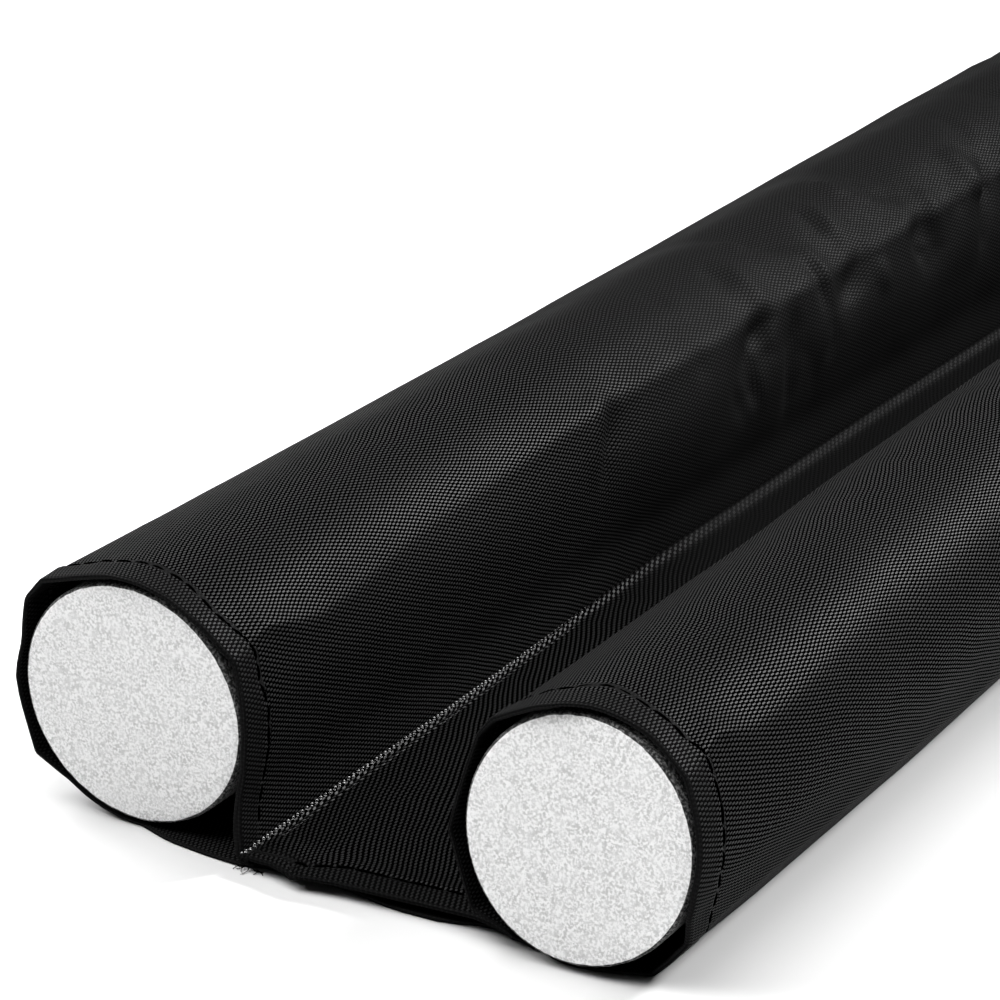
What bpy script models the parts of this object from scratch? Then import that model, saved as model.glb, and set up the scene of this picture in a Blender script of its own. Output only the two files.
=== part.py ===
"""Twin under-door draught excluder: two cloth sleeves round foam cores, joined by a flat web.

Run with: blender --background --python part.py

Frame: X across the sleeves, Y along them with the near open ends at -Y, Z up from the floor.
Sizes are in millimetres and become metres where the points are made.
In a section, u runs from a core's axis towards the web and angles turn up from u.
"""
import math

import bmesh
import bpy

MM = 0.001

# Driving dimensions
CORE_LENGTH = 900.0
CORE_DIAMETER = {"left": 33.0, "right": 31.0}
CORE_AXIS_X = {"left": -33.05, "right": 34.85}
CORE_FACE = {"left": 0.0, "right": -3.8}      # how far the near face lies along Y
CORE_CUT_TILT = {"left": -2.3, "right": 7.7}  # degrees out of square, positive with the top set back
NEAR_Y = -447.1                               # Y of the left core's near face
CLOTH = 1.0                                   # cloth thickness
PLAY = 0.4                                    # between a core and the taut cloth round it
LAYER_GAP = 0.3                               # between the two layers of the web

# Hems
HEM_WIDTH = 5.5
HEM_PROUD = 0.35        # how far the turned-in hem stands out
HEM_STEP = 1.0          # length over which the hem's step falls away
HEM_LIFT = 3.0          # height at which the hem stands fully proud; on the floor it lies flush
RIM_FADE_START = 8.0    # the rim's slant holds this far back
RIM_FADE_END = 40.0     # and is gone here
MOUTH_FADE_END = 28.0   # where the slack of the mouth gives way to that of the body

# Web
FOOT_BULK = 0.35        # how far the foot seam stands above the lower web layer
FOOT_FALL = 0.2         # width over which it falls to that layer
RIDGE_HEIGHT = 1.0      # the folded edge of the upper layer, above the web
RIDGE_WIDTH = 2.0
RIDGE_FALL = 1.0        # width over which the ridge falls to the web
FOOT_CLEARANCE = 0.45   # between that folded edge and the foot of the left sleeve
FOOT_RISE = 0.2         # from the level web up to the foot of the right sleeve

# Section sampling
RING_POINTS = 32
SUPPORT_STEP = 2        # degrees between the directions in which a section is measured
SUPPORT_REACH = 86      # and how far they turn to either side
CORE_SIDES = 48
CORE_EDGE = 0.4         # bevel on the rims of the cores
SHARP_EDGE = math.radians(40)

# Where the cloth stands off its taut circle, in millimetres, at the near mouth and along the body
CORNERS = {
    "left": (
        # name, angle, at mouth, along body
        ("cheek", 29.0, 0.3, 0.2),
        ("crest", 131.5, 1.9, 1.3),
        ("shoulder", 144.0, 1.7, 1.1),
        ("side", 180.0, 0.1, 0.7),
        ("heel", 213.5, 1.1, 1.0),
    ),
    "right": (
        ("heel", 319.0, 1.7, 1.5),
        ("flank", 351.0, 1.1, 0.6),
        ("shoulder", 33.0, 0.8, 0.5),
        ("crest", 44.0, 0.9, 0.8),
        ("side", 217.0, 1.1, 1.1),
        ("outer heel", 240.5, 2.3, 2.9),
    ),
}

# The rim of each near mouth: angle, and how far along Y it lies from NEAR_Y
RIM = {
    "left": (
        (-44, -2.2), (-28, -1.6), (-10, -1.2), (6, -0.9), (29, 0.2), (55, -1.2), (90, -1.5), (131, -0.8),
        (145, -0.5), (180, -0.3), (214, 0.3), (232, 1.5), (270, 1.2), (287, -0.8), (305, -1.8), (316, -2.2),
    ),
    "right": (
        (-62, -4.5), (-41, -5.0), (-9, -4.0), (18, -2.6), (33, -2.0), (60, -2.6), (75, -3.0), (93, -2.0),
        (120, -1.5), (142, -2.0), (165, -3.9), (188, -5.8), (200, -5.2), (217, -2.6), (240, -2.0),
        (255, -4.3), (272, -4.8), (298, -4.5),
    ),
}

# Front edges of the web's two layers: X, and how far along Y they lie from NEAR_Y
WEB_FRONT = {
    "left": ((-15.0, -1.9), (-12.0, -1.0), (0.0, -1.0), (4.5, -2.0), (8.0, -2.6), (15.0, -2.5),
             (20.0, -0.8)),
    "right": ((-15.0, -3.0), (-10.0, -3.2), (-5.5, -4.5), (-0.5, -3.6), (6.7, -3.2), (20.0, -2.7)),
}
LOWER_WEB_COLUMNS = (0.0, 4.5, 8.0, 15.0, 20.0, 24.8)   # X of the lower layer's points
UPPER_WEB_COLUMNS = (15.5, 6.7, -0.5, -5.5, -10.0)      # X of the upper layer's, right to left

# The foot of the left sleeve: distance along the sleeve, and its reach from the core's axis
FOOT_REACH = (
    (0, 17.9), (10, 17.9), (20, 17.7), (50, 17.6), (80, 16.8), (110, 15.8), (145, 16.6), (185, 16.8),
    (235, 18.1), (300, 17.6), (900, 17.8),
)

# How the slack of the body rises and falls: distance, share of the corners' stand-off, loose crown in mm
SLACK = {
    "left": (
        (0, 1.0, 0.0), (60, 1.0, 0.1), (90, 0.9, 0.7), (130, 1.05, 1.3), (175, 1.15, 1.4), (215, 1.0, 1.3),
        (245, 1.1, 1.4), (290, 1.0, 0.9), (380, 0.9, 0.6), (520, 1.1, 0.8), (700, 0.95, 0.5),
        (900, 1.0, 0.1),
    ),
    "right": (
        (0, 1.0, 0.0), (70, 1.1, 0.1), (110, 0.9, 0.4), (200, 1.05, 0.7), (330, 0.9, 0.5), (480, 1.1, 0.8),
        (650, 0.9, 0.5), (800, 1.05, 0.6), (900, 1.0, 0.1),
    ),
}
CROWN_ANGLE = 58.0      # middle of the loose crown
CROWN_SPREAD = 95.0     # and where it ends on either side, in degrees

# Main folds in the left sleeve: distance, angle, half-length in degrees, half-width, lean per degree, depth
FOLDS = (
    (98.5, 20.0, 24.0, 6.0, 0.26, 0.9),
    (143.0, 22.0, 22.0, 6.5, 0.30, 1.4),
    (158.5, 0.0, 26.0, 6.0, -0.04, 1.0),
    (167.0, 78.0, 22.0, 6.5, -0.20, 1.1),
    (177.0, 32.0, 18.0, 6.5, 0.05, 1.0),
    (208.0, 74.0, 26.0, 6.5, -0.08, 1.2),
    (210.0, 24.0, 18.0, 6.5, 0.18, 1.1),
    (237.0, 28.0, 28.0, 7.0, 0.18, 1.5),
    (268.0, 60.0, 30.0, 7.0, -0.10, 1.0),
)

# Stations along each sleeve, close together near the mouth and where the folds lie
NEAR_HEM = [0.0, HEM_WIDTH / 2, HEM_WIDTH, HEM_WIDTH + HEM_STEP]
FAR_HEM = [CORE_LENGTH - HEM_WIDTH - HEM_STEP, CORE_LENGTH - HEM_WIDTH, CORE_LENGTH]
FOLD_FIRST = 91.0       # the stations round the folds
FOLD_STEP = 6.5
FOLD_STATIONS = 31
STATIONS = {
    "left": NEAR_HEM + [11, 18, 28, 40, 54, 70, 84]
            + [FOLD_FIRST + FOLD_STEP * index for index in range(FOLD_STATIONS)]
            + [300, 330, 380, 450, 520, 610, 700, 800] + FAR_HEM,
    "right": NEAR_HEM + [11, 20, 30, 40, 50, 65, 80, 95, 110, 128, 145, 185, 235, 300]
             + [380, 470, 560, 650, 730, 800, 860] + FAR_HEM,
}

CLOTH_COLOUR = (0.018, 0.018, 0.020, 1.0)
FOAM_COLOUR = (0.84, 0.84, 0.84, 1.0)

CORE_RADIUS = {side: diameter / 2 for side, diameter in CORE_DIAMETER.items()}
TAUT_RADIUS = {side: radius + PLAY + CLOTH for side, radius in CORE_RADIUS.items()}
TOWARDS_WEB = {"left": 1.0, "right": -1.0}
LOWER_TOP = CLOTH
UPPER_BOTTOM = LOWER_TOP + LAYER_GAP
UPPER_TOP = UPPER_BOTTOM + CLOTH
RIGHT_FOOT_ANGLES = (-61.6, 288.8)   # where the upper layer's top and underside leave the right sleeve


def clear_scene():
    for obj in list(bpy.data.objects):
        bpy.data.objects.remove(obj)


def make_material(name, colour, roughness):
    material = bpy.data.materials.new(name)
    material.use_nodes = True
    shader = material.node_tree.nodes["Principled BSDF"]
    shader.inputs["Base Color"].default_value = colour
    shader.inputs["Roughness"].default_value = roughness
    shader.inputs["Metallic"].default_value = 0.0
    return material


def lerp(low, high, share):
    return low + (high - low) * share


def read_row(table, key, column=1):
    """Straight-line value of a table's column, held level past its ends."""
    if key <= table[0][0]:
        return table[0][column]
    for low, high in zip(table, table[1:]):
        if key <= high[0]:
            return lerp(low[column], high[column], (key - low[0]) / (high[0] - low[0]))
    return table[-1][column]


def fade(value, start, end):
    """1 up to start, easing to 0 at end."""
    share = min(max((value - start) / (end - start), 0.0), 1.0)
    return 1.0 - share * share * (3.0 - 2.0 * share)


def hull_radius(angle, taut, corners):
    """Distance to a band drawn tight round a circle and the corners outside it."""
    best = math.inf
    for step in range(-SUPPORT_REACH, SUPPORT_REACH + 1, SUPPORT_STEP):
        direction = angle + step
        reach = max([taut] + [far * math.cos(math.radians(direction - at)) for at, far in corners])
        best = min(best, reach / math.cos(math.radians(step)))
    return best


def foot_angles(side, distance):
    """Angles of the top and the bottom of the foot, where the web leaves the sleeve."""
    if side == "right":
        return RIGHT_FOOT_ANGLES
    reach = read_row(FOOT_REACH, distance)
    taut = TAUT_RADIUS[side]
    top, bottom = (math.degrees(math.atan2(z - taut, reach)) for z in (LOWER_TOP + FOOT_BULK, 0.0))
    return top, bottom + 360.0


def ring_angles(side, distance):
    """Even angles from the top of the foot round to its bottom, with one set on each corner."""
    first, last = foot_angles(side, distance)
    angles = [lerp(first, last, index / (RING_POINTS - 1)) for index in range(RING_POINTS)]
    for name, at, mouth, body in CORNERS[side]:
        at = at if at < last else at - 360.0
        nearest = min(range(1, RING_POINTS - 1), key=lambda index: abs(angles[index] - at))
        angles[nearest] = at
    return angles


def fold_depth(side, distance, angle):
    if side == "right":
        return 0.0
    total = 0.0
    for at, centre, half_length, half_width, lean, depth in FOLDS:
        across = (distance - at - lean * (angle - centre)) / half_width
        along = (angle - centre) / half_length
        total += depth * math.exp(-across * across - along * along)
    return total


def outer_ring(side, distance):
    """Outer points of the sleeve's section as (u, z), from the top of the foot round to its bottom."""
    taut = TAUT_RADIUS[side]
    at_mouth = fade(distance, 0.0, MOUTH_FADE_END)
    share = read_row(SLACK[side], distance)
    crown = read_row(SLACK[side], distance, 2)
    corners = [(at, taut + lerp(body * share, mouth, at_mouth)) for name, at, mouth, body in CORNERS[side]]
    if side == "left":
        reach = read_row(FOOT_REACH, distance)
        corners.append((math.degrees(math.atan2(-taut, reach)), math.hypot(taut, reach)))
    from_end = min(distance, CORE_LENGTH - distance)
    hem = HEM_PROUD * fade(from_end, HEM_WIDTH, HEM_WIDTH + HEM_STEP)
    points = []
    for angle in ring_angles(side, distance):
        radius = hull_radius(angle, taut, corners)
        loose = crown * fade(abs(angle - CROWN_ANGLE), 0.0, CROWN_SPREAD)
        radius = max(radius, radius + loose - fold_depth(side, distance, angle) * min(crown, 1.0))
        height = taut + radius * math.sin(math.radians(angle))
        radius += hem * min(max(height / HEM_LIFT, 0.0), 1.0)
        u = radius * math.cos(math.radians(angle))
        z = max(taut + radius * math.sin(math.radians(angle)), 0.0)
        points.append((u, z))
    return points


def inner_ring(outer):
    """The outer ring set in by the cloth's thickness, square to its surface."""
    count = len(outer)
    points = []
    for index, (u, z) in enumerate(outer):
        before = outer[index - 1]
        after = outer[(index + 1) % count]
        first = (u - before[0], z - before[1])
        second = (after[0] - u, after[1] - z)
        normals = []
        for du, dz in (first, second):
            length = math.hypot(du, dz)
            normals.append((-dz / length, du / length))
        nu = normals[0][0] + normals[1][0]
        nz = normals[0][1] + normals[1][1]
        square = (nu * nu + nz * nz) / 2.0
        points.append((u + nu * CLOTH / square, z + nz * CLOTH / square))
    return points


def left_flap(distance):
    """Lower web layer as two runs of (x, z) from the foot to its free edge: underside, then top."""
    foot = CORE_AXIS_X["left"] + read_row(FOOT_REACH, distance) + FOOT_FALL
    columns = [foot] + list(LOWER_WEB_COLUMNS)
    return [(x, 0.0) for x in columns], [(x, LOWER_TOP) for x in columns]


def right_flap(distance):
    """Upper web layer, likewise, which ends in its raised, folded edge beside the left sleeve's foot."""
    ridge_top = UPPER_TOP + RIDGE_HEIGHT
    (low_u, low_z), (high_u, high_z) = outer_ring("left", distance)[:2]
    wall = max(low_u, lerp(low_u, high_u, (ridge_top - low_z) / (high_z - low_z)))
    edge = CORE_AXIS_X["left"] + wall + FOOT_CLEARANCE
    crest = edge + RIDGE_WIDTH
    columns = list(UPPER_WEB_COLUMNS) + [crest + RIDGE_FALL, crest, edge]
    lift = [0.0] * (len(columns) - 2) + [RIDGE_HEIGHT, RIDGE_HEIGHT]
    return [(x, UPPER_BOTTOM) for x in columns], [(x, UPPER_TOP + up) for x, up in zip(columns, lift)]


def sleeve_rows(side):
    """For each station, the outer loop (ring, flap underside, flap top) and the inner loop, in metres."""
    axis = CORE_AXIS_X[side]
    towards = TOWARDS_WEB[side]
    rows = []
    for distance in STATIONS[side]:
        y = NEAR_Y + distance
        rim = [read_row(RIM[side], angle) for angle in ring_angles(side, distance)]
        slant = fade(distance, RIM_FADE_START, RIM_FADE_END)
        outer = outer_ring(side, distance)
        if side == "left":
            under, over = left_flap(distance)
        else:
            outer[0] = (outer[0][0], UPPER_TOP)
            outer[-1] = (outer[-1][0], UPPER_BOTTOM)
            under, over = right_flap(distance)
        lining = inner_ring(outer)
        if side == "right":
            outer[0] = (outer[0][0], UPPER_TOP + FOOT_RISE)
        ring = [(axis + towards * u, y + back * slant, z) for (u, z), back in zip(outer, rim)]
        inside = [(axis + towards * u, y + back * slant, z) for (u, z), back in zip(lining, rim)]
        flap = [(x, y + read_row(WEB_FRONT[side], x) * slant, z) for x, z in under + over[::-1]]
        loops = (ring, flap, inside)
        rows.append([[tuple(value * MM for value in point) for point in loop] for loop in loops])
    return rows


def build_sleeve(side, collection, material):
    """A closed loft: the sleeve's wall and its web flap are one piece of cloth."""
    mesh = bpy.data.meshes.new(side + "_sleeve")
    shape = bmesh.new()
    loops = []
    for ring, flap, inside in sleeve_rows(side):
        outer_loop = [shape.verts.new(point) for point in ring + flap]
        loops.append((outer_loop, [shape.verts.new(point) for point in inside]))
    for (outer_a, inner_a), (outer_b, inner_b) in zip(loops, loops[1:]):
        for near, far in ((outer_a, outer_b), (inner_b, inner_a)):
            for index in range(len(near)):
                after = (index + 1) % len(near)
                shape.faces.new((near[index], near[after], far[after], far[index]))
    for outer, inner in (loops[0], loops[-1]):
        for index in range(RING_POINTS):
            after = (index + 1) % RING_POINTS
            shape.faces.new((outer[index], outer[after], inner[after], inner[index]))
        flap = [outer[RING_POINTS - 1]] + outer[RING_POINTS:] + [outer[0]]
        for index in range(len(flap) // 2 - 1):
            shape.faces.new((flap[index], flap[index + 1], flap[-index - 2], flap[-index - 1]))
    bmesh.ops.recalc_face_normals(shape, faces=shape.faces)
    shape.to_mesh(mesh)
    shape.free()
    mesh.materials.append(material)
    mesh.shade_smooth()
    mesh.set_sharp_from_angle(angle=SHARP_EDGE)
    collection.objects.link(bpy.data.objects.new(side + "_sleeve", mesh))


def build_core(side, collection, material):
    """A foam cylinder along Y whose near face is cut a little out of square."""
    centre = (CORE_AXIS_X[side], NEAR_Y + CORE_LENGTH / 2, TAUT_RADIUS[side])
    bpy.ops.mesh.primitive_cylinder_add(vertices=CORE_SIDES, radius=CORE_RADIUS[side] * MM,
                                        depth=CORE_LENGTH * MM, rotation=(math.pi / 2, 0, 0))
    bpy.ops.object.transform_apply(location=False, rotation=True, scale=False)
    core = bpy.context.active_object
    core.name = side + "_core"
    core.data.name = core.name
    core.location = [value * MM for value in centre]
    slope = math.tan(math.radians(CORE_CUT_TILT[side]))
    for vertex in core.data.vertices:
        if vertex.co.y < 0:
            vertex.co.y += CORE_FACE[side] * MM + slope * vertex.co.z
    bevel = core.modifiers.new("Soft rim", "BEVEL")
    bevel.width = CORE_EDGE * MM
    bevel.segments = 1
    bevel.limit_method = "ANGLE"
    bevel.angle_limit = SHARP_EDGE
    core.data.materials.append(material)
    core.data.shade_smooth()
    core.data.set_sharp_from_angle(angle=SHARP_EDGE)
    for home in list(core.users_collection):
        home.objects.unlink(core)
    collection.objects.link(core)


def main():
    clear_scene()
    collection = bpy.data.collections.new("draught_excluder")
    bpy.context.scene.collection.children.link(collection)
    cloth = make_material("black_woven_cloth", CLOTH_COLOUR, 0.55)
    foam = make_material("pale_foam", FOAM_COLOUR, 0.9)
    for side in ("left", "right"):
        build_sleeve(side, collection, cloth)
        build_core(side, collection, foam)


main()
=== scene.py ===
"""Looks of the twin draught excluder: black woven sleeves round pale foam cores, joined by a flat web.

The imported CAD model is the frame. Sizes are in millimetres, and become metres where the points are made.
In a section, u runs from a core's axis towards the web and angles turn up from u. "Distance" is measured
along a sleeve from its near mouth. A strip is one panel of cloth: a grid of rows along the sleeve and
columns across it, from its free edge, round its core, to its other edge.
"""
import math
import random

import bmesh
import bpy
import numpy as np
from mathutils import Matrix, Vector


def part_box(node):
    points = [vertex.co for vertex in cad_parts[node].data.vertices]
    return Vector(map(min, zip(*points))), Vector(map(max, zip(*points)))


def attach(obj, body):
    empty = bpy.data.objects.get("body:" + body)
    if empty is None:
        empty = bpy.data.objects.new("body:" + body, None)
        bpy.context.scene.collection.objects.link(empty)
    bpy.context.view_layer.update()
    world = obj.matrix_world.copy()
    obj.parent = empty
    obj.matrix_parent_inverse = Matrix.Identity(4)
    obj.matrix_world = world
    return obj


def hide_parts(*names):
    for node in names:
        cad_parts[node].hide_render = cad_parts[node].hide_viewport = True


MM = 0.001
TINY = 1e-9             # keeps a division off zero
SIDES = ("left", "right")

# Cloth
CORE_LENGTH = 900.0     # of both cores, between the sleeves' mouths
CLOTH = 0.45            # thickness of one layer
HEM_PROUD = 0.38        # how far a hem stands out
HEM_STEP = (-0.1, 0.7)  # past its stitching, the length over which its step falls away
GROOVE_DEPTH = 0.28     # of the groove that the stitching pulls in
GROOVE_WIDTH = 0.50
WEB_GROOVE = 0.7        # share of that depth on the web
# Unevenness, as waves of a height, a turn along, a turn across and a start
PUCKER_WIDTH = 2.2      # along the stitching
PUCKER_WAVES = ((0.05, 1.9, 0.0, 0.0), (0.06, 0.83, 0.0, 0.7))      # from column to column
SLOW_WAVES = ((0.05, 0.061, 2.0, 0.0), (0.05, 0.097, -3.0, 1.3), (0.05, 0.151, 4.0, 4.1))
SLOW_WAVES_GROW = (12.0, 60.0)      # distances over which those of the whole sleeve grow
# And those of the web, along the sleeve and across its width
WEB_WAVES = ((0.12, 0.043, 3.0, 0.0), (0.07, 0.117, -5.0, 1.0))
HEM_MARGIN = 0.8        # of the turned-in layer, beyond the stitching
LEAST_SLACK = 0.60      # between a sleeve's outer face and its core
HEM_LIFT = 3.0          # height at which the hem stands fully proud; on the floor it lies flush
RIM_FADE = (8.0, 40.0)  # distances between which the slant of a mouth's rim fades away
MOUTH_FADE_END = 28.0   # where the slack of the mouth gives way to that of the body
DEEPEST_FOLD = 0.6      # of the cloth's thickness, inside the taut circle

# Web
LOWER_EDGE_X = 24.8     # free edge of the lower layer
LOWER_TOP = 1.0         # top of the lower layer's hem
UPPER_TOP = 2.3         # top of the upper layer's hem
WEB_REST = 1.75         # top of the upper layer behind the hem
FOOT_BULK = 0.35        # how far the foot of the left sleeve stands above the lower layer
WEB_PAST_FOOT = 0.3     # how far the lower layer starts from the foot of the left sleeve
WEB_HEM_FADES = (5.2, 9.0)      # distances over which the upper layer comes down behind its hem
WEB_RISES = (0.8, 1.0)  # shares of the web's width over which it rises to the right sleeve
RIDGE_TOP = 3.9         # height up to which the folded edge of the upper layer meets the left sleeve's wall
RIDGE_CLEARANCE = 0.3   # between that folded edge and the wall
RIDGE_TAIL_LIFTS = (0.5, 0.9)   # of its last two columns with the hem, in shares of the hem's rise
WALL_HOLLOW = (-31.0, 11.0, 0.75)    # the left sleeve's wall falls in above its foot: angle, spread, depth

# Where the cloth stands off its taut circle, in millimetres, at the near mouth and along the body
CORNERS = {
    "left": (
        # angle, at mouth, along body
        (131.5, 1.9, 1.3),
        (144.0, 1.7, 1.1),
        (180.0, 0.1, 0.7),
        (213.5, 1.1, 1.0),
    ),
    "right": (
        (319.0, 1.7, 1.5),
        (351.0, 1.1, 0.6),
        (33.0, 0.8, 0.5),
        (44.0, 0.9, 0.8),
        (217.0, 1.1, 1.1),
        (240.5, 2.3, 2.9),
    ),
}

# The bend that starts at each hem and runs back along the lit flank: distance, angle, stand-off
CHEEK = {
    "left": ((0, 31, 0.40), (3, 32, 0.45), (9.5, 36, 0.80), (12, 34, 0.75), (16, 30, 0.55), (21, 27, 0.4),
             (34, 30, 0.2), (50, 36, 0.1), (75, 39, 0.35), (100, 41, 0.8), (150, 39, 1.0), (250, 38, 1.0),
             (300, 38, 0.8), (380, 38, 0.4), (500, 38, 0.1), (900, 38, 0.0)),
    "right": ((0, 142, 0.30), (3, 140, 0.45), (10, 135, 0.85), (12.5, 137, 0.8), (17, 143, 0.5),
              (24, 145, 0.3), (36, 141, 0.15), (50, 138, 0.0)),
}

# The rim of each near mouth: angle, and how far along Y it lies from the left core's near face
RIM = {
    "left": (
        (-44, -2.2), (-28, -1.6), (-10, -1.2), (6, -0.9), (29, 0.2), (55, -1.2), (90, -1.5), (131, -0.8),
        (145, -0.5), (180, -0.3), (214, 0.3), (232, 1.5), (270, 1.2), (287, -0.8), (305, -1.8), (316, -2.2),
    ),
    "right": (
        (-62, -4.5), (-41, -5.0), (-9, -4.0), (18, -2.6), (33, -2.0), (60, -2.6), (75, -3.0), (93, -2.0),
        (120, -1.5), (142, -2.0), (165, -3.9), (188, -5.8), (200, -5.2), (217, -2.6), (240, -2.0),
        (249, -3.1), (259, -4.0), (270, -4.4), (280, -4.4), (290, -3.1), (298, -2.7),
    ),
}

# Thickness of the hem at each near mouth, by angle, and of the hems elsewhere
HEM_THICKNESS = {
    "left": (
        (-44, 1.0), (-38, 1.45), (-31, 1.1), (-20, 0.9), (10, 0.85), (40, 0.75), (80, 0.6), (95, 0.55),
        (98, 0.75), (131, 0.75), (146, 0.42), (316, 0.42),
    ),
    "right": (
        (-62, 0.42), (20, 0.42), (36, 0.5), (44, 0.78), (75, 0.75), (79, 0.5), (110, 0.65), (140, 0.8),
        (225, 0.85), (241, 0.5), (289, 0.42),
    ),
}
WEB_HEM_THICKNESS = 0.6
SOFT_HEM_THICKNESS = 0.5    # of the folded edge and the tuck at the seam
HEM_GROOVE = 0.14       # how far the two layers' edges part at a mouth

# Front edges of the web's two layers: X, and how far along Y they lie from the left core's near face
WEB_FRONT = {
    "left": ((-15.0, -1.9), (-12.0, -1.0), (0.0, -1.0), (4.5, -2.0), (8.0, -2.6), (15.0, -2.5),
             (20.0, -0.8)),
    "right": ((-15.0, -3.0), (-10.0, -3.2), (-5.5, -4.5), (-0.5, -3.6), (6.7, -3.2), (20.0, -2.5),
              (26.6, -3.9)),
}

# Stitching of the near hems: angle (or X on the web), and distance from the rim
RING_STITCH = {
    "left": ((-43, 4.2), (-38, 4.4), (-25, 5.2), (-10, 5.6), (4, 5.6), (19, 4.4), (34, 4.7), (52, 4.0),
             (66, 4.9), (86, 5.7), (105, 5.5), (140, 5.0), (315, 4.5)),
    "right": ((-62, 4.5), (40, 5.0), (78, 6.3), (90, 6.5), (110, 4.9), (128, 4.8), (140, 5.6), (166, 6.1),
              (174, 6.2), (199, 6.9), (209, 5.4), (289, 5.0)),
}
WEB_STITCH = {
    "left": ((-15.0, 4.2), (24.8, 4.5)),
    "right": ((-13.0, 2.2), (-6.8, 2.9), (-3.8, 3.9), (-1.6, 4.6), (16.0, 4.6), (26.6, 4.5)),
}
FAR_STITCH = 5.0

# The foot of the left sleeve: distance along the sleeve, and its reach from the core's axis
FOOT_REACH = (
    (0, 17.9), (10, 17.9), (20, 17.7), (50, 17.6), (80, 16.8), (110, 15.8), (145, 16.6), (185, 16.8),
    (235, 18.1), (300, 17.6), (900, 17.8),
)

# How the slack of the body rises and falls: distance, share of the corners' stand-off, loose crown in mm
SLACK = {
    "left": (
        (0, 1.0, 0.0), (60, 1.0, 0.1), (90, 0.9, 0.7), (130, 1.05, 1.3), (175, 1.15, 1.4), (215, 1.0, 1.3),
        (245, 1.1, 1.4), (290, 1.0, 0.9), (380, 0.9, 0.6), (520, 1.1, 0.8), (700, 0.95, 0.5),
        (900, 1.0, 0.1),
    ),
    "right": (
        (0, 1.0, 0.0), (70, 1.1, 0.1), (110, 0.9, 0.4), (200, 1.05, 0.7), (330, 0.9, 0.5), (480, 1.1, 0.8),
        (650, 0.9, 0.5), (800, 1.05, 0.6), (900, 1.0, 0.1),
    ),
}
# How far the left sleeve's upper left bend stands out or in besides: distance, mm
SHOULDER = (
    (0, -0.1), (8, 0.24), (15, 0.38), (22, 0.53), (36, 0.49), (43, 0.36), (50, 0.27), (60, 0.21), (82, 0.12),
    (108, 0.11), (117, -0.09), (126, -0.26), (136, -0.30), (155, -0.30), (165, -0.38), (176, -0.33),
    (187, -0.15), (198, -0.07), (220, 0.09), (232, 0.14), (245, 0.03), (270, 0.16), (284, 0.29), (300, 0.5),
    (340, 0.2), (400, 0.0),
)
SIDE_HOLLOW = (163.0, 9.0, 0.4)     # of the left mouth's side: angle, spread, depth
SHOULDER_ANGLE = 127.0  # of that bend, and how far it spreads to either side
SHOULDER_SPREAD = 26.0
CROWN_ANGLE = 58.0      # of the loose crown, likewise
CROWN_SPREAD = 95.0

# Main folds in the left sleeve: distance, angle, half-length in degrees, half-width, lean per degree, depth
FOLDS = (
    (98.5, 20.0, 24.0, 6.0, 0.26, 1.08),
    (143.0, 22.0, 22.0, 6.5, 0.30, 1.68),
    (158.5, 0.0, 26.0, 6.0, -0.04, 1.20),
    (167.0, 78.0, 22.0, 6.5, -0.20, 1.32),
    (177.0, 32.0, 18.0, 6.5, 0.05, 1.20),
    (208.0, 74.0, 26.0, 6.5, -0.08, 1.44),
    (210.0, 24.0, 18.0, 6.5, 0.18, 1.32),
    (237.0, 28.0, 28.0, 7.0, 0.18, 1.80),
    (268.0, 60.0, 30.0, 7.0, -0.10, 1.20),
)

# Creases: points (distance, angle) along each, reach to either side, height (below zero for a trough)
CREASES = {
    "left": (
        (((103, 41), (97, 21), (94, 4)), 1.9, -0.78),
        (((100, 48), (95, 30), (91, 10)), 3.4, 0.49),
        (((131, 82), (131, 64)), 2.2, -0.39),
        (((126, 26), (128.5, 43)), 2.2, -0.35),
        (((135.5, 12), (140, -7)), 2.8, -0.48),
        (((146, 75), (149, 56)), 3.0, -0.59),
        (((152.4, 74), (151.5, 49), (151, 38), (149, 18)), 5.2, 1.21),
        (((153, 39), (147, 33), (142.6, 28)), 2.2, -1.05),
        (((142.8, 30), (141.2, 15), (142.8, -4)), 2.2, -1.18),
        (((159.5, 34), (158, 25), (155.5, 15), (154, -16)), 2.5, -1.05),
        (((164, 84), (165, 70), (169.5, 60)), 2.5, -0.78),
        (((159.8, 86), (161.2, 72)), 2.9, 0.65),
        (((169.7, 51), (168.6, 24)), 2.2, -1.18),
        (((172.5, 60), (172, 40), (170.5, 22)), 3.4, 0.90),
        (((171.3, 20), (170.6, 7), (167.7, -4)), 2.2, -0.70),
        (((188, 43), (181.5, 30), (175.6, 24)), 2.8, -1.12),
        (((185, 78), (183, 47)), 3.6, 0.97),
        (((182, 76), (179.5, 55)), 2.4, -0.78),
        (((191, 31), (188.4, 16)), 2.7, 0.82),
        (((196.3, 90), (195, 68)), 3.6, 0.73),
        (((202.4, 83), (203.4, 64), (208.2, 51)), 3.0, -0.99),
        (((211, 41), (204.4, 29), (206, 16)), 3.0, -1.33),
        (((215, 52), (212.5, 18)), 3.6, 0.97),
        (((223, 45), (221, 28)), 2.2, -0.48),
        (((230, 64), (231.4, 30)), 4.8, 1.46),
        (((239, 47), (233, 25), (229, 2)), 2.8, -1.55),
        (((244, 86), (240, 56)), 3.2, -0.70),
        (((258, 50), (250, 20)), 3.0, -0.99),
        (((266, 84), (270, 52)), 4.4, 0.82),
        (((275, 80), (268, 46)), 3.1, -0.85),
        (((284, 40), (280, 8)), 2.8, -0.85),
    ),
    "right": (
        (((98, 76), (90, 93)), 3.0, -0.16),
        (((114, 78), (119, 88)), 3.4, -0.16),
        (((60, 170), (52, 150)), 4.6, -0.10),
        (((132, 60), (140, 84)), 4.2, -0.20),
    ),
}
CREASE_ENDS = (0.02, 0.98)      # shares of a crease's length at which its height is held
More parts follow.
